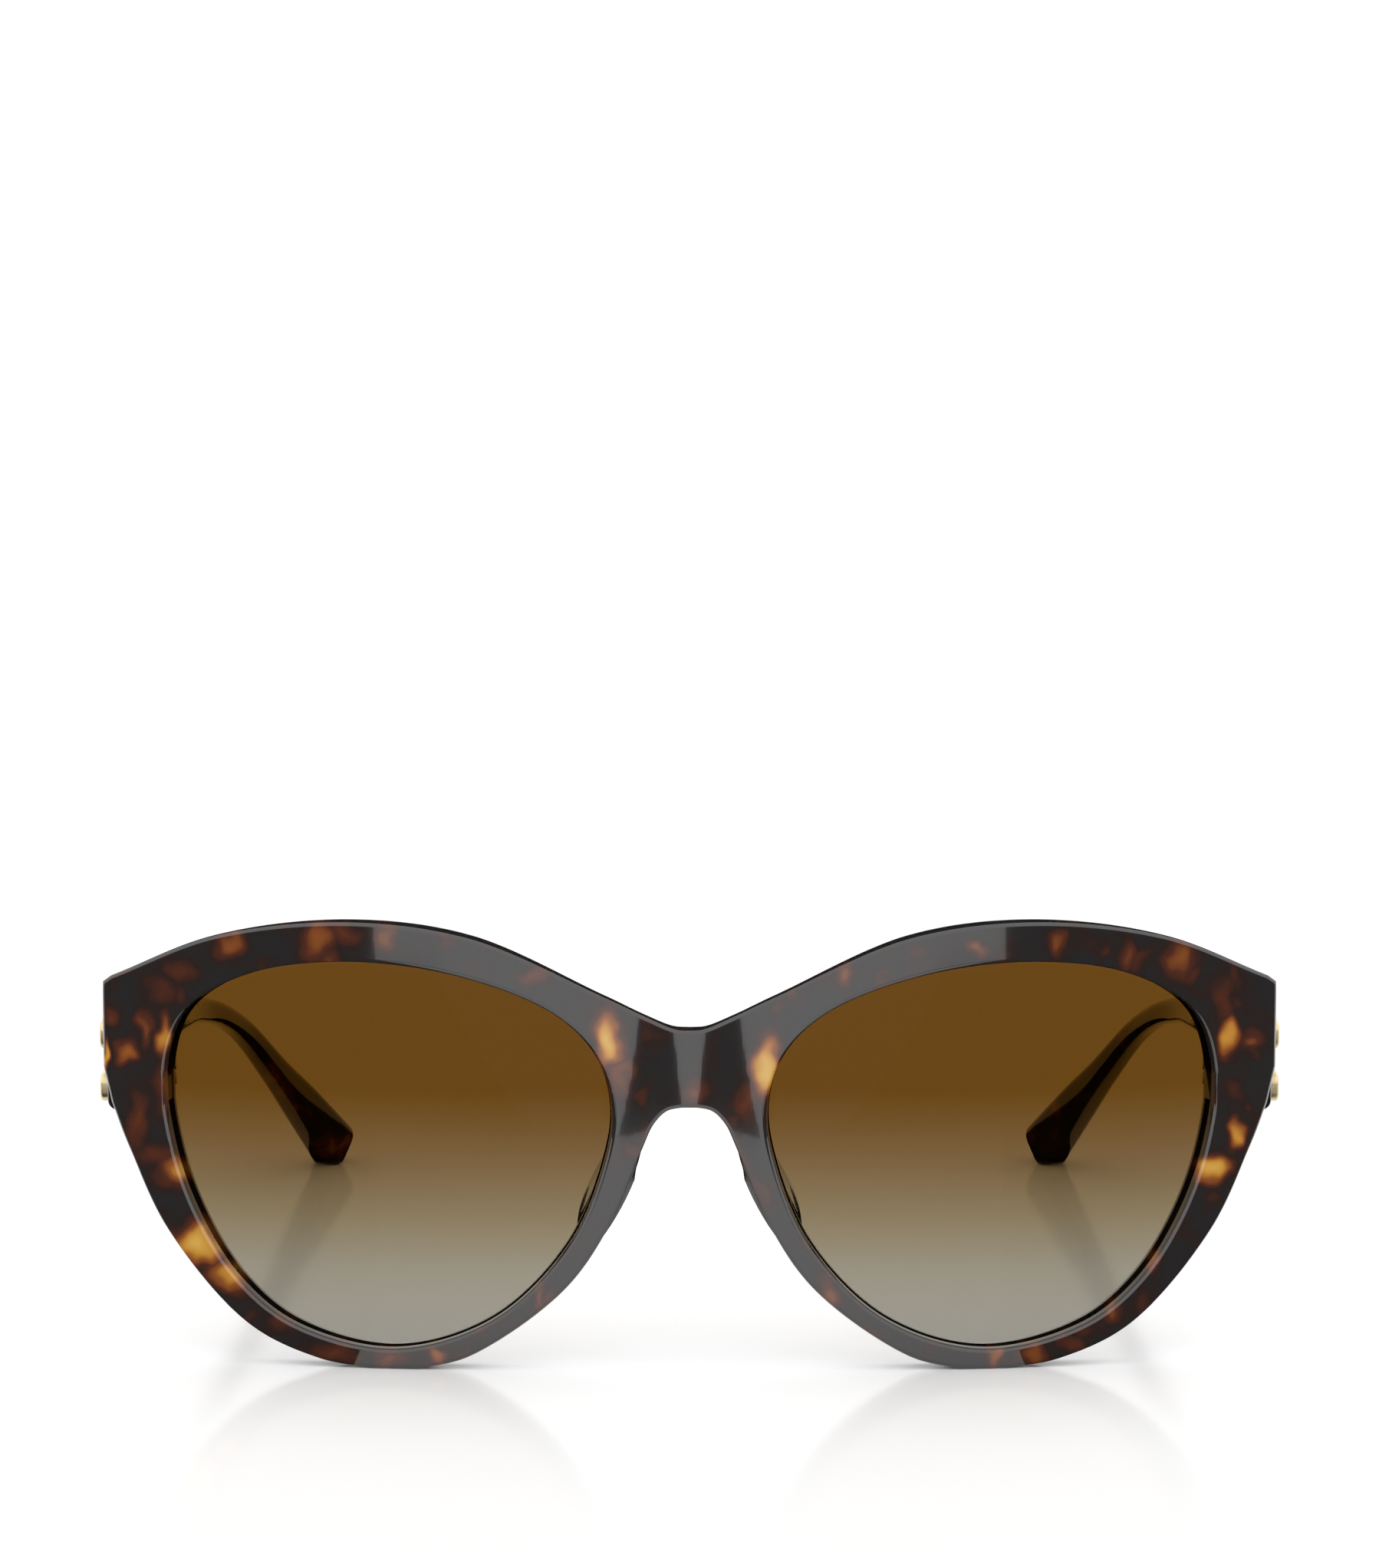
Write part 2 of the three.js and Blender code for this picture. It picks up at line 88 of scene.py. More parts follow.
APERTURE = [
    (9.5, 32.5), (11.5, 39.2), (16.7, 44.5), (28.5, 49.2), (42.5, 50.8), (54.6, 48.9), (62.7, 43.8),
    (65.2, 36.5), (64.1, 26.6), (60.8, 17.8), (55.9, 10.5), (49.1, 5.3), (36.5, 2.5), (24.2, 6.3),
    (15.0, 15.3), (10.7, 25.0),
]
SIDES = {"left": 1, "right": -1}

# the hinge screws stand 15.35 mm behind the face
screw_low, screw_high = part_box("hinge_screw_left")
FACE = (screw_low[1] + screw_high[1]) / 2 - 0.01535


def run_through(points, steps, closed=False):
    """Points along a smooth curve through the given ones, in even steps from one to the next."""
    points = [Vector(point) for point in points]
    count = len(points)
    spans = count if closed else count - 1
    samples = []
    for step in range(steps if closed else steps + 1):
        place = spans * step / steps
        first = min(int(place), spans - 1)
        part = place - first
        b, c = points[first], points[(first + 1) % count]
        a = points[first - 1] if closed or first else b * 2 - c
        d = points[(first + 2) % count] if closed or first + 2 < count else c * 2 - b
        before, here, after = ((q - p).length ** 0.5 for p, q in ((a, b), (b, c), (c, d)))
        leaving = ((b - a) / before - (c - a) / (before + here) + (c - b) / here) * here
        arriving = ((c - b) / here - (d - b) / (here + after) + (d - c) / after) * here
        samples.append(
            b + leaving * part
            + (c * 3 - b * 3 - leaving * 2 - arriving) * part**2
            + (b * 2 - c * 2 + leaving + arriving) * part**3
        )
    return samples


def wrap_depth(x):
    past_nearest = math.hypot(x, BRIDGE_SOFTNESS) - FACE_NEAREST_X
    return FACE_RADIUS - math.sqrt(FACE_RADIUS**2 - past_nearest**2)


def face_depth(x):
    return wrap_depth(x) - BRIDGE_RISE * math.exp(-((x / BRIDGE_SPREAD) ** 2))


def fade(value, start, end):
    share = min(1, max(0, (value - start) / (end - start)))
    return share * share * (3 - 2 * share)


def wrapped(point):
    """A point of the flat sheet, after the sheet is bent: walls stay square to the curved face."""
    x, depth, z = point
    lean = math.atan((wrap_depth(x + 0.01) - wrap_depth(x - 0.01)) / 0.02)
    on_block = fade(abs(x), *BLOCK_FADE_OUT) * fade(z, *BLOCK_FADE_LOW) * (1 - fade(z, *BLOCK_FADE_HIGH))
    moved_x = x - math.sin(lean) * math.cos(lean) * depth * (1 - on_block)
    return Vector((moved_x, face_depth(moved_x) + depth, z))


def work_on(piece):
    """Leaves edit mode and makes this the one selected piece."""
    if bpy.context.object and bpy.context.object.mode != "OBJECT":
        bpy.ops.object.mode_set(mode="OBJECT")
    bpy.ops.object.select_all(action="DESELECT")
    piece.select_set(True)
    bpy.context.view_layer.objects.active = piece


def pick(piece, kind, wanted):
    """Goes into edit mode with only the wanted vertices, edges or polygons selected."""
    work_on(piece)
    for group in (piece.data.vertices, piece.data.edges, piece.data.polygons):
        group.foreach_set("select", [False] * len(group))
    for item in getattr(piece.data, kind):
        item.select = bool(wanted(item))
    modes = ("vertices", "edges", "polygons")
    bpy.context.tool_settings.mesh_select_mode = [kind == mode for mode in modes]
    bpy.ops.object.mode_set(mode="EDIT")


def pick_edges(piece, wanted):
    """As pick, but the test sees each edge with the faces beside it."""
    work_on(piece)
    seen = bmesh.new()
    seen.from_mesh(piece.data)
    chosen = {edge.index for edge in seen.edges if len(edge.link_faces) == 2 and wanted(edge)}
    seen.free()
    pick(piece, "edges", lambda edge: edge.index in chosen)


def change(piece, kind, **settings):
    """Adds a modifier to the piece and applies it."""
    work_on(piece)
    bpy.ops.object.modifier_add(type=kind)
    modifier = piece.modifiers[-1]
    for name, value in settings.items():
        setattr(modifier, name, value)
    bpy.ops.object.modifier_apply(modifier=modifier.name)


def combine(piece, tool, operation):
    """Joins the tool to the piece, or cuts it away, and removes the tool."""
    change(piece, "BOOLEAN", object=tool, operation=operation, solver="MANIFOLD")
    bpy.data.objects.remove(tool)


def soften(piece, radius, segments, wanted):
    pick_edges(piece, wanted)
    bpy.ops.mesh.bevel(offset=radius, segments=segments, affect="EDGES", clamp_overlap=False)
    work_on(piece)


def block_of(low, high):
    """A box between two corners, for shaping or for cutting with."""
    bpy.ops.object.select_all(action="DESELECT")
    middle = [(a + b) / 2 for a, b in zip(low, high)]
    bpy.ops.mesh.primitive_cube_add(size=1, location=middle)
    piece = bpy.context.object
    piece.scale = [b - a for a, b in zip(low, high)]
    bpy.ops.object.transform_apply(location=True, rotation=True, scale=True)
    return piece


def rod_of(radius, start, end, sides=40):
    """A round rod from one point to another."""
    bpy.ops.object.select_all(action="DESELECT")
    start, end = Vector(start), Vector(end)
    turned = (end - start).to_track_quat("Z", "Y").to_euler()
    bpy.ops.mesh.primitive_cylinder_add(
        vertices=sides, radius=radius, depth=(end - start).length,
        location=(start + end) / 2, rotation=turned,
    )
    bpy.ops.object.transform_apply(location=True, rotation=True, scale=True)
    return bpy.context.object


def ring_of(points, fill="NOTHING"):
    """A closed ring of vertices, each at its own point."""
    bpy.ops.object.select_all(action="DESELECT")
    bpy.ops.mesh.primitive_circle_add(vertices=len(points), radius=1, fill_type=fill)
    piece = bpy.context.object
    for vertex, point in zip(piece.data.vertices, points):
        vertex.co = point
    return piece


def add_ring(piece, points):
    """Pulls a further ring out of the last one, each vertex to its own point."""
    count = len(points)
    first_of_last = len(piece.data.vertices) - count
    pick(piece, "vertices", lambda vertex: vertex.index >= first_of_last)
    bpy.ops.mesh.extrude_region_move()
    work_on(piece)
    for vertex, point in zip(piece.data.vertices[-count:], points):
        vertex.co = point


def close_end(piece, count):
    """Fills the last ring."""
    first_of_last = len(piece.data.vertices) - count
    pick(piece, "vertices", lambda vertex: vertex.index >= first_of_last)
    bpy.ops.mesh.edge_face_add()
    work_on(piece)


def twin_of(piece):
    """The other side's copy, with a mesh of its own."""
    twin = piece.copy()
    twin.data = piece.data.copy()
    bpy.context.collection.objects.link(twin)
    twin.data.transform(Matrix.Scale(-1, 4, (1, 0, 0)))
    twin.data.flip_normals()
    return twin


def outward(piece):
    """Turns every face of a closed piece outwards, once its doubled vertices are merged."""
    pick(piece, "vertices", lambda vertex: True)
    bpy.ops.mesh.remove_doubles(threshold=0.0005)
    bpy.ops.mesh.normals_make_consistent(inside=False)
    work_on(piece)


def settle(piece, name, cad_node, body, material, smooth_angle=35):
    """Finishes a piece: into metres at its place on the frame, smoothed, and tied to its body."""
    outward(piece)
    piece.data.transform(Matrix.Translation((0, FACE, 0)) @ Matrix.Scale(0.001, 4))
    piece.name = piece.data.name = name
    piece.data.materials.clear()
    piece.data.materials.append(material)
    bpy.ops.object.shade_smooth_by_angle(angle=math.radians(smooth_angle))
    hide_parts(cad_node)
    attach(piece, body)
    return piece


def tinted(code):
    """A colour from its sRGB hex code, as the linear values that shaders take."""
    parts = [int(code[i : i + 2], 16) / 255 for i in (1, 3, 5)]
    return [p / 12.92 if p <= 0.04045 else ((p + 0.055) / 1.055) ** 2.4 for p in parts] + [1]


def node(material, kind, inputs=None, **settings):
    """Adds a node to the material, with its settings, and with its values or links by socket."""
    made = material.node_tree.nodes.new(kind)
    for name, value in settings.items():
        setattr(made, name, value)
    for socket, value in (inputs or {}).items():
        if isinstance(value, bpy.types.NodeSocket):
            material.node_tree.links.new(value, made.inputs[socket])
        else:
            made.inputs[socket].default_value = value
    return made


def bare_material(name):
    material = bpy.data.materials.new(name)
    material.use_nodes = True
    material.node_tree.nodes.clear()
    return material


def fill_ramp(ramp, stops):
    """Sets a colour ramp to the given places and colour codes."""
    elements = ramp.color_ramp.elements
    while len(elements) < len(stops):
        elements.new(0.5)
    for element, (place, code) in zip(elements, stops):
        element.position = place
        element.color = tinted(code)


def tortoiseshell(name, clouds_and_glints, scattered, cloud_size, depths="#262424"):
    """Havana acetate: amber clouds, a few millimetres across, drowned in near-black brown; the plate's list
    also holds painted glints of the sunk hinge leaves.

    Polished to a wet gloss, with the faintest ripple left by the tumbling.
    """
    material = bare_material(name)
    place = node(material, "ShaderNodeTexCoord").outputs["Object"]
    in_mm = node(
        material, "ShaderNodeVectorMath", {0: place, 1: (1000, 1000, 1000)}, operation="MULTIPLY"
    ).outputs[0]
    # the sheet is pressed from chips, which drags each cloud out by a millimetre or so
    drag = node(
        material, "ShaderNodeTexNoise", {"Vector": in_mm, "Scale": 0.3, "Detail": 1.0, "Roughness": 0.4}
    ).outputs["Color"]
    centred = node(
        material, "ShaderNodeVectorMath", {0: drag, 1: (0.5, 0.5, 0.5)}, operation="SUBTRACT"
    ).outputs[0]
    dragged = node(
        material, "ShaderNodeVectorMath", {0: centred, 1: (3.2, 3.2, 3.2), 2: in_mm}, operation="MULTIPLY_ADD"
    ).outputs[0]
    mottle = node(
        material, "ShaderNodeTexNoise",
        {"Vector": in_mm, "Scale": 1 / cloud_size, "Detail": 1.6, "Roughness": 0.45, "Distortion": 0.3},
    ).outputs["Fac"]
    amber = node(
        material, "ShaderNodeMapRange",
        {"Value": mottle, "From Min": 0.44, "From Max": 0.80, "To Min": 0, "To Max": scattered},
        interpolation_type="SMOOTHSTEP",
    ).outputs[0]
    # every listed patch is mixed in as amber, and the painted glints are among them
    for x, z, half_width, half_height, strength in clouds_and_glints:
        away = node(
            material, "ShaderNodeVectorMath", {0: dragged, 1: (x, 0, z)}, operation="SUBTRACT"
        ).outputs[0]
        measured = node(
            material, "ShaderNodeVectorMath", {0: away, 1: (1 / half_width, 0, 1 / half_height)},
            operation="MULTIPLY",
        ).outputs[0]
        distance = node(
            material, "ShaderNodeVectorMath", {0: measured}, operation="LENGTH"
        ).outputs["Value"]
        patch = node(
            material, "ShaderNodeMapRange",
            {"Value": distance, "From Min": 1.95, "From Max": 0.05, "To Min": 0, "To Max": strength},
            interpolation_type="SMOOTHSTEP",
        ).outputs[0]
        amber = node(material, "ShaderNodeMath", {0: amber, 1: patch}, operation="MAXIMUM").outputs[0]
    colour = node(material, "ShaderNodeValToRGB", {"Fac": amber})
    fill_ramp(colour, [
        (0.0, depths), (0.18, "#2b201d"), (0.4, "#4e291d"), (0.62, "#8a4f24"),
        (0.8, "#b98334"), (1.0, "#cba04c"),
    ])
    ripple = node(
        material, "ShaderNodeTexNoise", {"Vector": in_mm, "Scale": 0.35, "Detail": 1.0}
    ).outputs["Fac"]
    normal = node(
        material, "ShaderNodeBump", {"Height": ripple, "Strength": 0.004, "Distance": 0.001}
    ).outputs["Normal"]
    shader = node(material, "ShaderNodeBsdfPrincipled", {
        "Base Color": colour.outputs["Color"], "Roughness": 0.09, "IOR": 1.5, "Coat Weight": 1.0,
        "Coat Roughness": 0.03, "Coat IOR": 1.5, "Normal": normal, "Coat Normal": normal,
    })
    node(material, "ShaderNodeOutputMaterial", {"Surface": shader.outputs[0]})
    return material


# the amber clouds that show in the plate, and painted glints where the sunk hinge leaves shine through it:
# centre x and z, half width and height, strength
PLATE_CLOUDS_AND_HINGE_GLINTS = [
    (-10.1, 41.3, 1.9, 3.4, 1.0), (-8.6, 37.2, 1.5, 3.0, 0.45), (9.4, 37.8, 1.9, 3.4, 1.0),
    (7.2, 33.6, 1.6, 2.4, 0.42), (-60.6, 14.6, 3.0, 2.7, 1.0), (-56.8, 11.0, 3.2, 1.7, 0.8),
    (-62.6, 23.8, 3.0, 1.7, 0.9), (64.4, 23.9, 2.6, 1.4, 0.95), (67.8, 28.3, 1.0, 1.8, 0.8),
    # painted glints: the patches round the hinges, at x from about 65 to 72.5 and z from 38 to 45.5, stand
    # for light off the sunk hinge leaves seen through the acetate
    (-65.3, 40.6, 1.0, 2.8, 0.75), (-67.6, 41.6, 0.9, 2.6, 0.48), (-69.8, 38.4, 1.2, 1.3, 0.62),
    (-72.4, 38.2, 0.6, 1.6, 0.85), (-71.6, 42.6, 1.2, 1.2, 0.42), (66.9, 40.9, 1.2, 2.4, 0.8),
    (69.6, 39.8, 1.6, 1.0, 0.5), (66.2, 45.2, 1.5, 3.6, 0.38), (-65.0, 34.2, 1.8, 3.2, 0.45),
    (-68.6, 30.0, 1.4, 4.0, 0.42), (-66.4, 25.4, 2.6, 1.6, 0.4), (-56.6, 52.6, 1.8, 2.0, 0.55),
    (-45.6, 53.6, 2.2, 2.6, 0.56), (-42.6, 54.2, 2.6, 1.4, 0.42), (-44.4, 50.2, 1.4, 2.0, 0.45),
    (-37.6, 54.2, 1.3, 1.8, 0.48), (-19.2, 49.2, 1.6, 1.2, 0.42), (-63.4, 49.4, 2.4, 1.4, 0.38),
    (-65.6, 46.4, 2.2, 1.8, 0.34), (0.6, 34.6, 1.8, 1.6, 0.45), (19.4, 49.4, 1.2, 1.8, 0.5),
    (35.4, 52.6, 1.3, 1.3, 0.5), (45.4, 52.8, 1.3, 1.8, 0.5), (53.8, 51.6, 1.2, 2.0, 0.45),
    (60.6, 50.6, 2.2, 2.2, 0.55), (17.4, 9.6, 1.2, 2.4, 0.5), (-18.2, 9.4, 0.8, 1.6, 0.45),
    (57.4, 12.8, 0.9, 1.8, 0.6), (52.6, 7.0, 1.2, 1.6, 0.5), (-31.0, 2.0, 1.5, 0.9, 0.62),
    (-36.6, 1.4, 2.4, 1.2, 0.45), (-44.0, 2.0, 3.4, 1.4, 0.42), (37.8, 1.4, 1.2, 1.4, 0.58),
    (42.4, 2.0, 1.8, 1.2, 0.52), (47.4, 3.4, 1.6, 1.2, 0.4), (-50.2, 5.6, 2.4, 1.4, 0.38),
]
# the plate's acetate carries the painted hinge glints in its colour
plate_acetate_with_glints = tortoiseshell("havana_acetate_sheet_with_glints", PLATE_CLOUDS_AND_HINGE_GLINTS, 0.34, 3.6)

corner_top, corner_foot = (Vector(spot) for spot in CORNER_SIDE)
half_outline = (
    run_through(BROW, 119) + [corner_top + (corner_foot - corner_top) * step / 16 for step in range(17)]
    + run_through(CHEEK, 60)[0:-1] + [Vector((RIM_FOOT_END - step, 0)) for step in range(6)]
    + run_through(NASAL, 96)
    + [Vector((0, BRIDGE_FOOT + BRIDGE_HEIGHT * step / 20)) for step in range(1, 20)]
)
aperture_curve = run_through(APERTURE, 4000, closed=True)
bearings = [math.atan2(z - EYE_CENTRE[1], x - EYE_CENTRE[0]) for x, z in aperture_curve]


def on_aperture(point):
    """The point of the opening's edge that lies towards the given one, seen from the eye's centre."""
    wanted = math.atan2(point[1] - EYE_CENTRE[1], point[0] - EYE_CENTRE[0])
    gap = [abs(math.remainder(bearing - wanted, math.tau)) for bearing in bearings]
    return aperture_curve[gap.index(min(gap))]


inner_ring = [on_aperture(point) for point in half_outline]
plate = ring_of([(x, 0, z) for x, z in inner_ring])
add_ring(plate, [(x, 0, z) for x, z in half_outline])
change(plate, "MIRROR", use_axis=(True, False, False), merge_threshold=0.001)
pick(plate, "polygons", lambda face: True)
bpy.ops.mesh.extrude_region_move(TRANSFORM_OT_translate={"value": (0, PLATE_THICKNESS, 0)})
outward(plate)


def beside_opening(x, z):
    return min((Vector((abs(x), z)) - spot).length for spot in inner_ring) < WALL_REACH


# the groove is turned into the walls of both openings
for depth in (LENS_FRONT, LENS_BACK):
    pick(plate, "polygons", lambda f: abs(f.normal.y) < 0.5 and beside_opening(f.center.x, f.center.z))
    bpy.ops.mesh.bisect(plane_co=(0, depth, 0), plane_no=(0, 1, 0))
pick(plate, "polygons", lambda f: (
    abs(f.normal.y) < 0.5 and LENS_FRONT < f.center.y < LENS_BACK and beside_opening(f.center.x, f.center.z)
))
bpy.ops.mesh.extrude_region_shrink_fatten(TRANSFORM_OT_shrink_fatten={"value": -GROOVE_DEPTH})


def at_rim(edge):
    """True for the plate's front and back edges, but not where the hinge blocks grow out of it."""
    (x1, y1, z1), (x2, y2, z2) = edge.verts[0].co, edge.verts[1].co
    if abs(y1 - y2) > 0.001 or 0.01 < y1 < PLATE_THICKNESS - 0.01 or edge.calc_face_angle() < 1:
        return False
    low, high = UNROUNDED_Z
    at_block = min(abs(x1), abs(x2)) > UNROUNDED_X and min(z1, z2) > low and max(z1, z2) < high
    return not (at_block and y1 > 1)


def on_sheet_face(face):
    """True for the sheet's own front and back, but not for the sides of the grooves."""
    inside = 0.01 < face.center.y < PLATE_THICKNESS - 0.01
    return abs(face.normal.y) > 0.999 and not inside


# both flat faces are made whole before their rims are rounded, so that the rounding is even
pick(plate, "polygons", on_sheet_face)
bpy.ops.mesh.dissolve_limited(angle_limit=math.radians(0.5))
pick_edges(plate, at_rim)
bpy.ops.mesh.bevel(
    offset=EDGE_RADIUS, segments=RIM_SEGMENTS, affect="EDGES", clamp_overlap=False, loop_slide=False
)
# the bend depends on x alone, so the sheet is cut across in even steps for it
pick(plate, "polygons", lambda face: abs(face.normal.y) > 0.999)
bpy.ops.mesh.inset(thickness=FLAT_MARGIN, use_boundary=True)
cut_x = -BEND_CUTS_END
while cut_x <= BEND_CUTS_END:
    bpy.ops.mesh.select_all(action="SELECT")
    bpy.ops.mesh.bisect(plane_co=(cut_x, 0, 0), plane_no=(1, 0, 0))
    cut_x += BEND_CUT_NARROW if abs(cut_x + 0.01) < BRIDGE_ZONE else BEND_CUT_WIDE
work_on(plate)
for vertex in plate.data.vertices:
    vertex.co = wrapped(vertex.co)

# the hinge blocks, each with the pocket that its leaf is sunk into
BLOCK_INNER_X = 67.4
BLOCK_BOTTOM = 29.5
BLOCK_TOP = 46.4
BLOCK_EDGE_RADIUS = 0.35
LEAF_POCKET = ((66.2, 12.1, 32.95), (71.1, 13.8, 42.25))
block_side = [p for p in half_outline if BLOCK_BOTTOM < p[1] < BLOCK_TOP and p[0] > 69]
block_profile = [(BLOCK_INNER_X, BLOCK_TOP), (72.7, BLOCK_TOP)]
block_profile += [(x - 0.12, z) for x, z in block_side]
block_profile += [(70.2, BLOCK_BOTTOM), (BLOCK_INNER_X, BLOCK_BOTTOM)]
block = ring_of([(x, face_depth(x) + 2, z) for x, z in block_profile], fill="NGON")
add_ring(block, [(x, JOINT_DEPTH, z) for x, z in block_profile])
soften(block, BLOCK_EDGE_RADIUS, 3, lambda edge: min(v.co.y for v in edge.verts) > JOINT_DEPTH - 0.01)
pocket = block_of(*LEAF_POCKET)
for tool, operation in ((block, "UNION"), (pocket, "DIFFERENCE")):
    change(tool, "MIRROR", use_axis=(True, False, False), use_mirror_merge=False)
    outward(tool)
    combine(plate, tool, operation)
settle(plate, "acetate_front", "front_frame", "front", plate_acetate_with_glints)

# ------------------------------------------------------------------ lenses
# Each lens is a shallow shell of CR-39 resin, cut to the opening and snapped into its groove. It is
# dipped in dye so that the brown is deepest at the brow and fades to a pale grey at the cheek.
LENS_EDGE_ROOM = 0.05
LENS_RINGS = 12
TINT_TOP = 55.8  # height at which the dye is measured as deepest


def gradient_tint(name):
    """Dyed CR-39 resin: clear through its whole depth, hard, glassy, and barely mirrored."""
    material = bare_material(name)
    place = node(material, "ShaderNodeTexCoord").outputs["Object"]
    height = node(material, "ShaderNodeSeparateXYZ", {0: place}).outputs["Z"]
    # the dye line wavers by a tenth of a millimetre
    waver = node(
        material, "ShaderNodeTexNoise", {"Vector": place, "Scale": 60.0, "Detail": 1.0}
    ).outputs["Fac"]
    wavered = node(
        material, "ShaderNodeMath", {0: waver, 1: 0.0001, 2: height}, operation="MULTIPLY_ADD"
    ).outputs[0]
    share = node(
        material, "ShaderNodeMapRange", {"Value": wavered, "From Min": 0, "From Max": TINT_TOP / 1000}
    ).outputs[0]
    # each face holds half of the dye, so these are paler than the lens looks
    dye = node(material, "ShaderNodeValToRGB", {"Fac": share})
    fill_ramp(dye, [
        (0.04, "#cdccc7"), (0.21, "#c3bfb5"), (0.34, "#b7ad98"), (0.48, "#aa977a"), (0.62, "#9e8352"),
        (0.95, "#9e8353"),
    ])
    clear = node(material, "ShaderNodeBsdfTransparent", {"Color": dye.outputs["Color"]})
    gloss = node(material, "ShaderNodeBsdfAnisotropic", {"Color": (1, 1, 1, 1), "Roughness": 0.03})
    mirrored = node(material, "ShaderNodeFresnel", {"IOR": 1.1})
    shader = node(
        material, "ShaderNodeMixShader", {0: mirrored.outputs[0], 1: clear.outputs[0], 2: gloss.outputs[0]}
    )
    node(material, "ShaderNodeOutputMaterial", {"Surface": shader.outputs[0]})
    return material


def grown(points, amount):
    """The closed outline moved outwards by the given amount."""
    moved = []
    for i, point in enumerate(points):
        along = (points[(i + 1) % len(points)] - points[i - 1]).normalized()
        moved.append(point + Vector((-along.y, along.x)) * amount)
    return moved


lens_resin = gradient_tint("brown_gradient_resin")
lens_edge = grown(run_through(APERTURE, 144, closed=True), GROOVE_DEPTH - LENS_EDGE_ROOM)
lens_middle = sum(lens_edge, Vector((0, 0))) / len(lens_edge)
lens = ring_of([(x, LENS_FRONT, z) for x, z in lens_edge])
for ring in range(1, LENS_RINGS):
    shrunk = 1 - ring / LENS_RINGS
    spots = [lens_middle + (point - lens_middle) * shrunk for point in lens_edge]
    add_ring(lens, [(x, LENS_FRONT, z) for x, z in spots])
close_end(lens, len(lens_edge))
pick(lens, "polygons", lambda face: len(face.vertices) > 4)
bpy.ops.mesh.poke()
pick(lens, "polygons", lambda face: True)
bpy.ops.mesh.extrude_region_move(TRANSFORM_OT_translate={"value": (0, LENS_BACK - LENS_FRONT, 0)})
outward(lens)
soften(lens, 0.12, 2, lambda edge: edge.calc_face_angle() > 1)
for vertex in lens.data.vertices:
    vertex.co = wrapped(vertex.co)
twin_lens = twin_of(lens)
settle(lens, "tinted_lens_left", "lens_left", "front", lens_resin)
settle(twin_lens, "tinted_lens_right", "lens_right", "front", lens_resin)

# ------------------------------------------------------------------ nose pads
# Two leaf-shaped pads of the same acetate, milled and then glued to the back of the nasal rims, each
# leaning outwards as it runs back to lie along the side of the nose.
PAD_SLANT = math.radians(26)
PAD_MIDDLE = Vector((9.9, 21.6))
PAD_SIDES = 40
# depth, half width, half length, shift outwards
PAD_SECTIONS = [
    (4.4, 2.0, 8.4, 0), (6.2, 1.92, 8.25, 0.1), (8.4, 1.6, 7.4, 0.6), (10.2, 1.2, 6.2, 1.2),
    (11.4, 0.75, 4.6, 1.6), (11.78, 0.3, 3.2, 1.78), (11.8, 0.1, 1.6, 1.8),
]


def pad_ring(section):
    """One slice of the pad, an oval in x and z; the first slice lies against the curved plate."""
    depth, half_width, half_length, shift = section
    along = Vector((math.sin(PAD_SLANT), -math.cos(PAD_SLANT)))
    across = Vector((math.cos(PAD_SLANT), math.sin(PAD_SLANT)))
    points = []
    for step in range(PAD_SIDES):
        turn = step / PAD_SIDES * math.tau
        x, z = (
            PAD_MIDDLE + along * half_length * math.cos(turn)
            + across * (shift + half_width * math.sin(turn))
        )
        points.append((x, max(depth, face_depth(x) + PLATE_THICKNESS + 0.02), z))
    return points


pad_slices = run_through(PAD_SECTIONS, 24)
pad = ring_of(pad_ring(pad_slices[0]), fill="NGON")
for section in pad_slices[1:]:
    add_ring(pad, pad_ring(section))
close_end(pad, PAD_SIDES)
outward(pad)
soften(pad, 0.3, 3, lambda edge: edge.calc_face_angle() > 1.2)
twin_pad = twin_of(pad)
settle(pad, "acetate_pad_left", "nose_pad_left", "front", plate_acetate_with_glints)
settle(twin_pad, "acetate_pad_right", "nose_pad_right", "front", plate_acetate_with_glints)

# ------------------------------------------------------------------ hinges
# A five-barrel hinge on each side, coined from nickel silver: the front leaf carries three barrels
# and is sunk into the end block, the temple leaf carries two, and a slotted screw is their pin.
HINGE_X = 65.6
HINGE_Y = 15.35
BARREL_RADIUS = 1.45
BORE_RADIUS = 0.75
BARREL_HEIGHT = 1.5
BARREL_STEP = 1.8
BARREL_BOTTOMS = [33.25 + BARREL_STEP * level for level in range(5)]
HINGE_TOP = BARREL_BOTTOMS[-1] + BARREL_HEIGHT
FRONT_LEAF = ((64.4, 12.4, 33.25), (70.8, 13.5, HINGE_TOP))
TEMPLE_LEAF = ((68.3, 16.9, 32.65), (69.4, 28.9, 42.55))


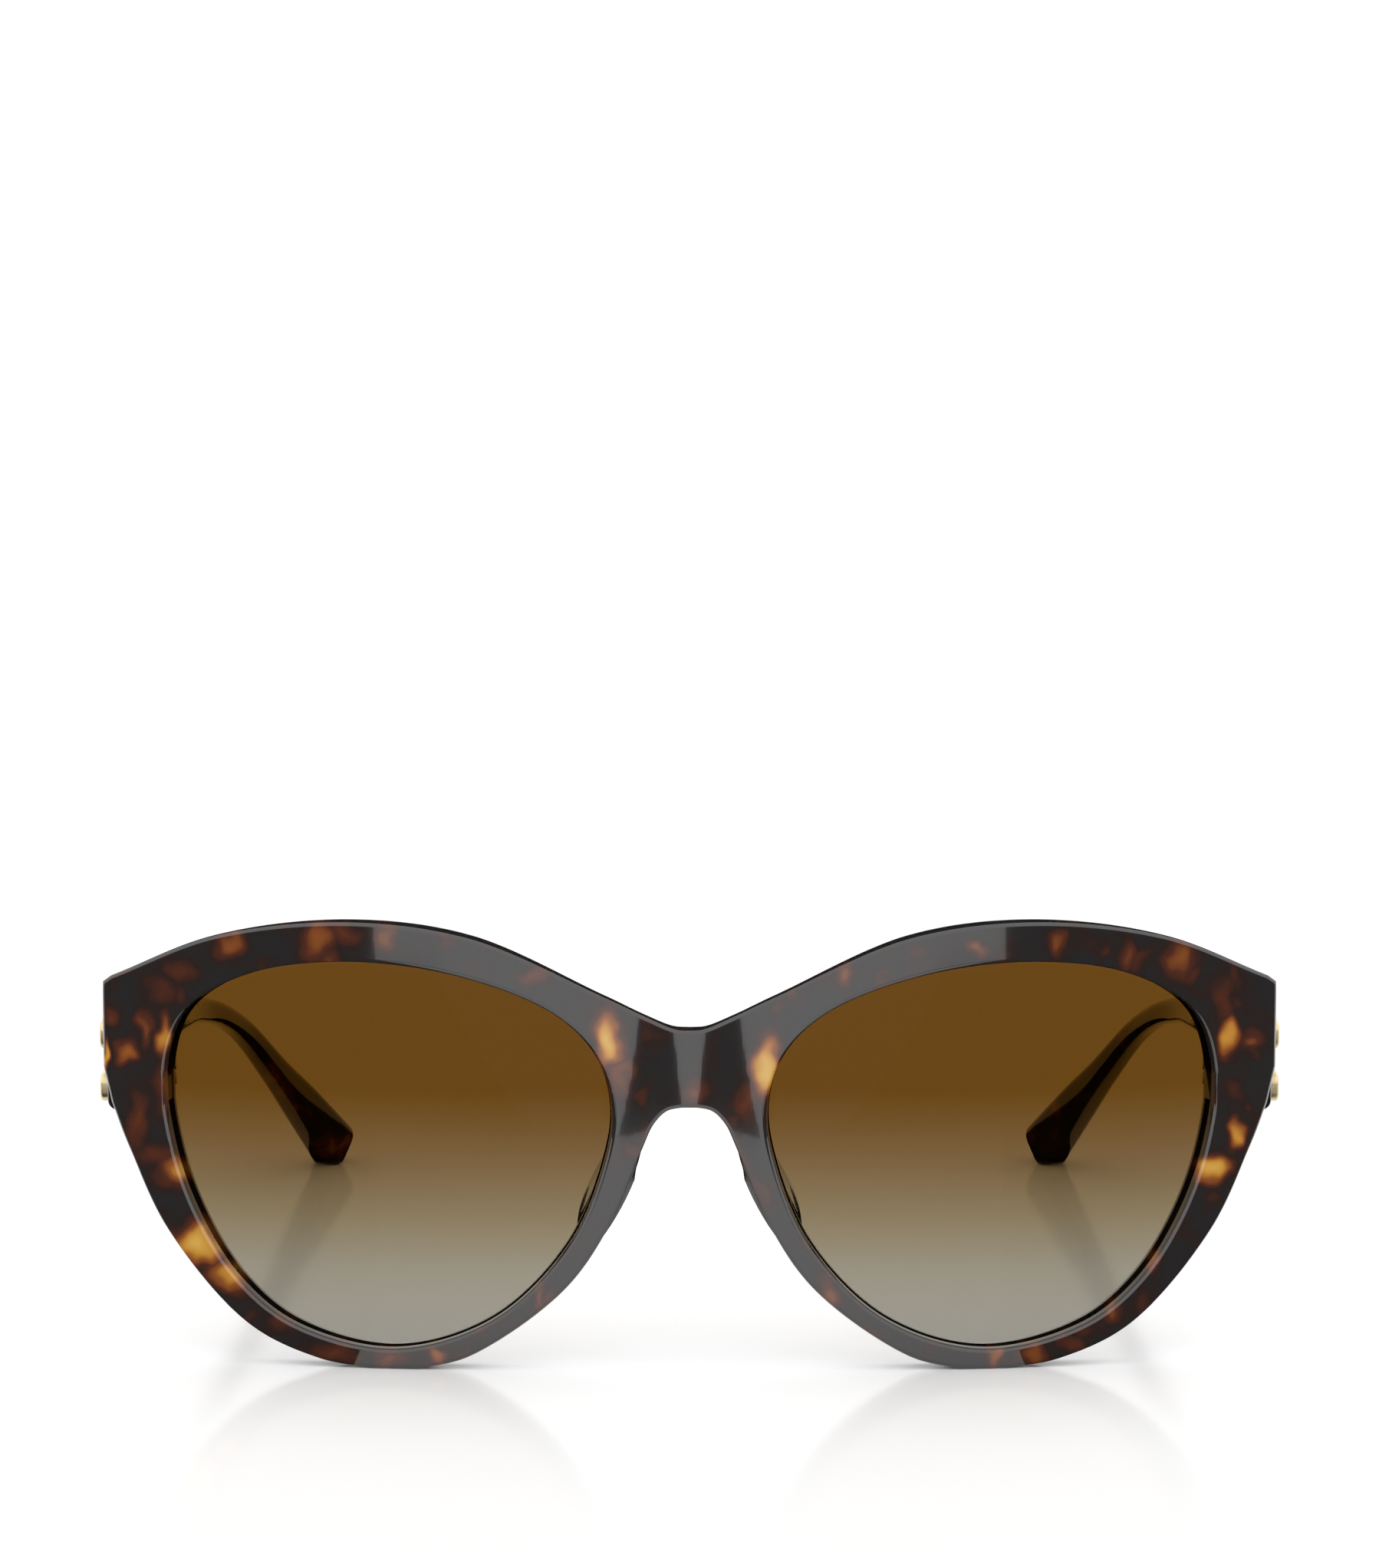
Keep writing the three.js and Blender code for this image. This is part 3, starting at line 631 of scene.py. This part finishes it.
def worked_metal(name, code, roughness, grain_mm, along, grain_depth):
    """A bare or plated metal with the fine lines or tumbling marks of its last working."""
    material = bare_material(name)
    place = node(material, "ShaderNodeTexCoord").outputs["Object"]
    scale = [1000 / grain_mm / (12 if axis == along else 1) for axis in "xyz"]
    lines = node(material, "ShaderNodeMapping", {"Vector": place, "Scale": scale}).outputs[0]
    grain = node(
        material, "ShaderNodeTexNoise", {"Vector": lines, "Scale": 1.0, "Detail": 3.0}
    ).outputs["Fac"]
    smudge = node(
        material, "ShaderNodeTexNoise", {"Vector": place, "Scale": 350.0, "Detail": 2.0}
    ).outputs["Fac"]
    dulled = node(
        material, "ShaderNodeMapRange",
        {"Value": smudge, "From Min": 0.3, "From Max": 0.7, "To Min": roughness, "To Max": roughness * 1.6},
    ).outputs[0]
    shade = node(material, "ShaderNodeValToRGB", {"Fac": grain})
    darker = "#" + "".join(f"{int(int(code[i : i + 2], 16) * 0.88):02x}" for i in (1, 3, 5))
    fill_ramp(shade, [(0.3, darker), (0.6, code)])
    normal = node(
        material, "ShaderNodeBump", {"Height": grain, "Strength": grain_depth, "Distance": 0.0001}
    ).outputs["Normal"]
    shader = node(material, "ShaderNodeBsdfPrincipled", {
        "Base Color": shade.outputs["Color"], "Metallic": 1.0, "Roughness": dulled, "Normal": normal,
    })
    node(material, "ShaderNodeOutputMaterial", {"Surface": shader.outputs[0]})
    return material


def barrel_at(bottom):
    """One hinge barrel: a short tube with its rims broken."""
    bpy.ops.object.select_all(action="DESELECT")
    bpy.ops.mesh.primitive_circle_add(
        vertices=40, radius=BARREL_RADIUS, fill_type="NOTHING", location=(HINGE_X, HINGE_Y, bottom)
    )
    barrel = bpy.context.object
    bpy.ops.object.transform_apply(location=True)
    pick(barrel, "edges", lambda edge: True)
    bpy.ops.mesh.extrude_region_move()
    bpy.ops.transform.resize(
        value=[BORE_RADIUS / BARREL_RADIUS] * 3, center_override=(HINGE_X, HINGE_Y, bottom)
    )
    bpy.ops.mesh.select_all(action="SELECT")
    bpy.ops.mesh.extrude_region_move(TRANSFORM_OT_translate={"value": (0, 0, BARREL_HEIGHT)})
    outward(barrel)
    soften(barrel, 0.1, 2, lambda edge: edge.calc_face_angle() > 1)
    return barrel


def bored(piece):
    """Clears the screw's way through whatever was joined to the barrels."""
    drill = rod_of(BORE_RADIUS, (HINGE_X, HINGE_Y, 30), (HINGE_X, HINGE_Y, 45))
    combine(piece, drill, "DIFFERENCE")


nickel_silver = worked_metal("nickel_silver_hinge", "#c9c5ba", 0.26, 0.12, "z", 0.25)
steel = worked_metal("stainless_screw", "#c4c6c8", 0.2, 0.08, "x", 0.2)

front_leaf = block_of(*FRONT_LEAF)
soften(front_leaf, 0.14, 3, lambda edge: True)
for bottom in BARREL_BOTTOMS[0::2]:
    neck = block_of((64.45, 13.2, bottom + 0.05), (66.75, HINGE_Y, bottom + BARREL_HEIGHT - 0.05))
    combine(front_leaf, neck, "UNION")
    combine(front_leaf, barrel_at(bottom), "UNION")
bored(front_leaf)
sink = rod_of(1.15, (HINGE_X, HINGE_Y, HINGE_TOP - 0.8), (HINGE_X, HINGE_Y, 45))
combine(front_leaf, sink, "DIFFERENCE")

temple_leaf = block_of(*TEMPLE_LEAF)
soften(temple_leaf, 0.14, 3, lambda edge: True)
for bottom in BARREL_BOTTOMS[1::2]:
    low, high = bottom + 0.05, bottom + BARREL_HEIGHT - 0.05
    arm = block_of((HINGE_X, HINGE_Y + 0.3, low), (68.65, HINGE_Y + 1.4, high))
    combine(temple_leaf, arm, "UNION")
    shank = block_of((67.55, HINGE_Y + 0.3, low), (68.65, 17.85, high))
    combine(temple_leaf, shank, "UNION")
    combine(temple_leaf, barrel_at(bottom), "UNION")
bored(temple_leaf)

screw = rod_of(0.6, (HINGE_X, HINGE_Y, 33.45), (HINGE_X, HINGE_Y, HINGE_TOP - 0.3))
head = rod_of(0.95, (HINGE_X, HINGE_Y, HINGE_TOP - 0.6), (HINGE_X, HINGE_Y, HINGE_TOP))
soften(head, 0.15, 3, lambda edge: edge.calc_face_angle() > 1 and edge.verts[0].co.z > HINGE_TOP - 0.1)
combine(screw, head, "UNION")
slot = block_of((64, HINGE_Y - 0.13, HINGE_TOP - 0.25), (67.2, HINGE_Y + 0.13, 45))
combine(screw, slot, "DIFFERENCE")

for piece, name, node_name, metal in (
    (front_leaf, "front_hinge_leaf", "hinge_front_leaf", nickel_silver),
    (screw, "joint_screw", "hinge_screw", steel),
    (temple_leaf, "temple_hinge_leaf", "hinge_temple_leaf", nickel_silver),
):
    for side, made in (("left", piece), ("right", twin_of(piece))):
        body = f"{side}_arm" if piece is temple_leaf else "front"
        settle(
            made, f"{name}_{side}", f"{node_name}_{side}", body, metal, smooth_angle=30
        )

# ------------------------------------------------------------------ temples
# Each temple is sawn and milled from acetate sheet, shot through with a wire core, then bent down
# behind the ear. It is deep at the hinge, thins to a rounded stem, and swells to a paddle at its tip.
TEMPLE_FRONT = 15.5
# centre x, centre y, centre z, height, thickness
TEMPLE_STATIONS = [
    (70.55, 8, 38.6, 17.4, 4.5), (70.55, 15.5, 37.9, 16.2, 4.5), (70.4, 42, 35.1, 12.2, 4.3),
    (69.7, 70, 32.3, 6.8, 3.9), (68.8, 86, 30.5, 4.8, 3.6), (67.3, 99, 28.8, 3.7, 3.4),
    (64.6, 109.5, 26.3, 3.2, 3.1), (61.9, 118.8, 22.2, 3.3, 3.2), (58.1, 127, 15.4, 3.9, 3.7),
    (55.1, 133, 10.1, 5.2, 4.1), (50.0, 141.6, 1.2, 7.0, 4.6),
]
TEMPLE_STEPS = 110
CORNER_STEPS = 7
TIP_SHARE = 0.015
TIP_REST = 0.05  # height of the level cut under the tip
TIP_EDGE_RADIUS = 0.35

temple_line = run_through([station[:3] for station in TEMPLE_STATIONS], 4000)
temple_sizes = run_through([(s[3], s[4], s[1]) for s in TEMPLE_STATIONS], 4000)


def temple_ring(share):
    """The temple's section at a share of its run: a rectangle with round corners, square to the run."""
    step = min(3998, max(1, round(share * 4000)))
    centre = temple_line[step] if share < 1 else temple_line[4000]
    run = (temple_line[step + 1] - temple_line[step - 1]).normalized()
    across = run.cross(Vector((0, 0, 1))).normalized()
    upward = across.cross(run).normalized()
    height, thickness, _ = temple_sizes[min(4000, round(share * 4000))]
    into_tip = max(0, (share - 1 + TIP_SHARE) / TIP_SHARE)
    closing = math.sqrt(max(0.02, 1 - into_tip**2))
    half_height = height / 2 * closing
    half_thickness = thickness / 2 * (0.35 + 0.65 * closing)
    corner = min(1.25, half_height * 0.75, half_thickness * 0.75)
    ring = []
    for quarter, (side_x, side_z) in enumerate(((1, 1), (-1, 1), (-1, -1), (1, -1))):
        for turn in range(CORNER_STEPS):
            angle = math.radians(90 * (quarter + turn / (CORNER_STEPS - 1)))
            x = side_x * (half_thickness - corner) + corner * math.cos(angle)
            z = side_z * (half_height - corner) + corner * math.sin(angle)
            ring.append(centre + across * x + upward * z)
    return ring


# the temples' sheet has scattered clouds only, over a darker ground than the front's
temple_acetate = tortoiseshell("havana_acetate_temple", [], 0.55, 5.0, depths="#211d1b")
shares = [(1 - TIP_SHARE) * step / TEMPLE_STEPS for step in range(TEMPLE_STEPS)]
shares += [1 - TIP_SHARE * (1 - math.sin(turn / 10 * math.pi / 2)) for turn in range(11)]
temple = ring_of(temple_ring(shares[0]), fill="NGON")
for share in shares[1:]:
    add_ring(temple, temple_ring(share))
close_end(temple, 4 * CORNER_STEPS)
outward(temple)
pick(temple, "polygons", lambda face: True)
bpy.ops.mesh.bisect(
    plane_co=(0, TEMPLE_FRONT, 0), plane_no=(0, 1, 0), use_fill=True, clear_inner=True
)
outward(temple)
soften(temple, 0.3, 3, lambda edge: (
    edge.calc_face_angle() > 1 and max(vertex.co.y for vertex in edge.verts) < TEMPLE_FRONT + 0.01
))
# the tip's end is cut level, so that it rests on the table
pick(temple, "polygons", lambda face: True)
bpy.ops.mesh.bisect(plane_co=(0, 0, TIP_REST), plane_no=(0, 0, 1), use_fill=True, clear_inner=True)
outward(temple)
soften(temple, TIP_EDGE_RADIUS, 3, lambda edge: (
    edge.calc_face_angle() > 0.5 and max(vertex.co.z for vertex in edge.verts) < TIP_REST + 0.01
))
leaf_low, leaf_high = TEMPLE_LEAF
leaf_slot = block_of(
    (leaf_low[0] - 1, TEMPLE_FRONT - 1, leaf_low[2] - 0.3),
    [edge + 0.3 for edge in leaf_high],
)
combine(temple, leaf_slot, "DIFFERENCE")

# ------------------------------------------------------------------ gold bars
# Two plain bars dress the outer face of each temple: stamped brass, domed at the rim, plated in pale
# gold and held by two posts apiece that are pushed through the acetate.
BAR_SEAT = 72.8
BAR_OUTER = 74.0
BAR_FRONT = 18.6
BAR_LENGTH = 12
BAR_HEIGHT = 3.5
BAR_BOTTOMS = {"upper": 37, "lower": 30.3}
POST_RADIUS = 0.6

pale_gold = worked_metal("pale_gold_plate", "#efdcb0", 0.32, 0.1, "y", 0.08)
for level, bottom in BAR_BOTTOMS.items():
    bar = block_of(
        (BAR_SEAT + 0.02, BAR_FRONT, bottom),
        (BAR_OUTER, BAR_FRONT + BAR_LENGTH, bottom + BAR_HEIGHT),
    )
    soften(bar, 1.2, 8, lambda edge: abs(edge.verts[0].co.x - edge.verts[1].co.x) > 1)
    soften(bar, 0.45, 6, lambda edge: min(v.co.x for v in edge.verts) > BAR_OUTER - 0.01)
    for along in (2.6, 8.2):
        y, z = BAR_FRONT + along, bottom + BAR_HEIGHT / 2
        combine(bar, rod_of(POST_RADIUS, (BAR_SEAT - 1.5, y, z), (BAR_SEAT + 0.4, y, z), 24), "UNION")
        hole = rod_of(POST_RADIUS + 0.05, (BAR_SEAT - 1.6, y, z), (BAR_SEAT + 1, y, z), 24)
        combine(temple, hole, "DIFFERENCE")
    for side, made in (("left", bar), ("right", twin_of(bar))):
        settle(
            made, f"gold_bar_{level}_{side}", f"trim_{level}_{side}", f"{side}_arm", pale_gold
        )

for side, made in (("left", temple), ("right", twin_of(temple))):
    settle(made, f"acetate_temple_{side}", f"temple_{side}", f"{side}_arm", temple_acetate)

# ------------------------------------------------------------------ core wires
# A drawn nickel-silver wire runs the length of each temple and keeps the bend behind the ear. It is
# shot into the warm acetate, so nothing of it shows, and it stays as it was designed.
core_metal = worked_metal("nickel_silver_core", "#b9b5aa", 0.35, 0.15, "y", 0.3)
for side in SIDES:
    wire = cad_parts[f"core_wire_{side}"]
    wire.data.materials.clear()
    wire.data.materials.append(core_metal)

# ------------------------------------------------------------------ table, light and camera
# A white gloss table top under an even white room. Black cards lie where the polished faces would
# otherwise mirror the table, and a bright strip is left between them. Lengths here are in metres.


def card(name, corners, facing):
    """A black card with the given corners, seen by nothing but what mirrors its face."""
    made = ring_of(corners, fill="NGON")
    if made.data.polygons[0].normal.dot(Vector(facing)) < 0:
        made.data.flip_normals()
    made.name = name
    made.data.materials.append(black_card)
    made.visible_camera = made.visible_shadow = made.visible_diffuse = False
    made.visible_transmission = made.visible_volume_scatter = False


bpy.ops.object.select_all(action="DESELECT")
bpy.ops.mesh.primitive_plane_add(size=40)
table = bpy.context.object
table.name = "table_top"
gloss_white = bare_material("white_gloss_laminate")
table_shader = node(gloss_white, "ShaderNodeBsdfPrincipled", {
    "Base Color": (0.92, 0.92, 0.92, 1), "Roughness": 0.12, "Specular IOR Level": 0.05,
})
node(gloss_white, "ShaderNodeOutputMaterial", {"Surface": table_shader.outputs[0]})
table.data.materials.append(gloss_white)

# a card is black on top only, so that the table under it still shows the white room
black_card = bare_material("black_card")
under_side = node(black_card, "ShaderNodeNewGeometry").outputs["Backfacing"]
black = node(black_card, "ShaderNodeBsdfDiffuse", {"Color": (0.01, 0.01, 0.01, 1)})
nothing = node(black_card, "ShaderNodeBsdfTransparent")
card_shader = node(
    black_card, "ShaderNodeMixShader", {0: under_side, 1: black.outputs[0], 2: nothing.outputs[0]}
)
node(black_card, "ShaderNodeOutputMaterial", {"Surface": card_shader.outputs[0]})
# on the table: how far out each edge lies, and how far in front of the face
CARD_HEIGHT = 0.0004
OUTER_CARD = [(0.0395, -0.01), (0.0533, 0.049), (0.138, 0.337), (0.37, 1.13), (1.5, 1.13), (1.5, -0.01)]
BRIDGE_CARD = [
    (0.010, 0.157), (0.0196, 0.178), (0.0535, 0.247), (0.066, 0.272), (0.080, 0.300), (0.250, 0.300),
    (0.150, 0.157),
]
INNER_CARD = [(0, -0.02), (0.062, -0.02), (0.062, -0.11), (0.05, -0.16), (0, -0.16)]
for name, edges in (("outer_card", OUTER_CARD), ("bridge_card", BRIDGE_CARD), ("inner_card", INNER_CARD)):
    for side, sign in SIDES.items():
        card(f"{name}_{side}", [(sign * x, FACE - y, CARD_HEIGHT) for x, y in edges], (0, 0, 1))

# behind the front: from just over the brow upwards
brow_line = [(x / 1000, z / 1000) for x, z in run_through(BROW, 30)]
brow_line = [(-x, z) for x, z in reversed(brow_line[1:])] + brow_line
BROW_CARD_BACK = 0.016
BROW_CARD_TOP = 0.09
card(
    "brow_card",
    [(x * 1.03, FACE + BROW_CARD_BACK, z + 0.0015) for x, z in brow_line]
    + [(0.0752, FACE + BROW_CARD_BACK, BROW_CARD_TOP), (-0.0752, FACE + BROW_CARD_BACK, BROW_CARD_TOP)],
    (0, -1, 0),
)

room = bpy.data.worlds.new("white_room")
bpy.context.scene.world = room
room.use_nodes = True
room.node_tree.nodes["Background"].inputs["Color"].default_value = (1, 1, 1, 1)
room.node_tree.nodes["Background"].inputs["Strength"].default_value = 1.3

CAMERA_DISTANCE = 0.9
CAMERA_HEIGHT = 0.194
CAMERA_TILT = 7.65
LENS_LENGTH = 170.5
bpy.ops.object.camera_add(
    location=(0, FACE - CAMERA_DISTANCE, CAMERA_HEIGHT), rotation=(math.radians(90 - CAMERA_TILT), 0, 0)
)
camera = bpy.context.object
camera.data.lens = LENS_LENGTH
camera.data.sensor_width = 36
camera.data.clip_start = 0.01
bpy.context.scene.camera = camera
bpy.context.scene.view_settings.view_transform = "Standard"
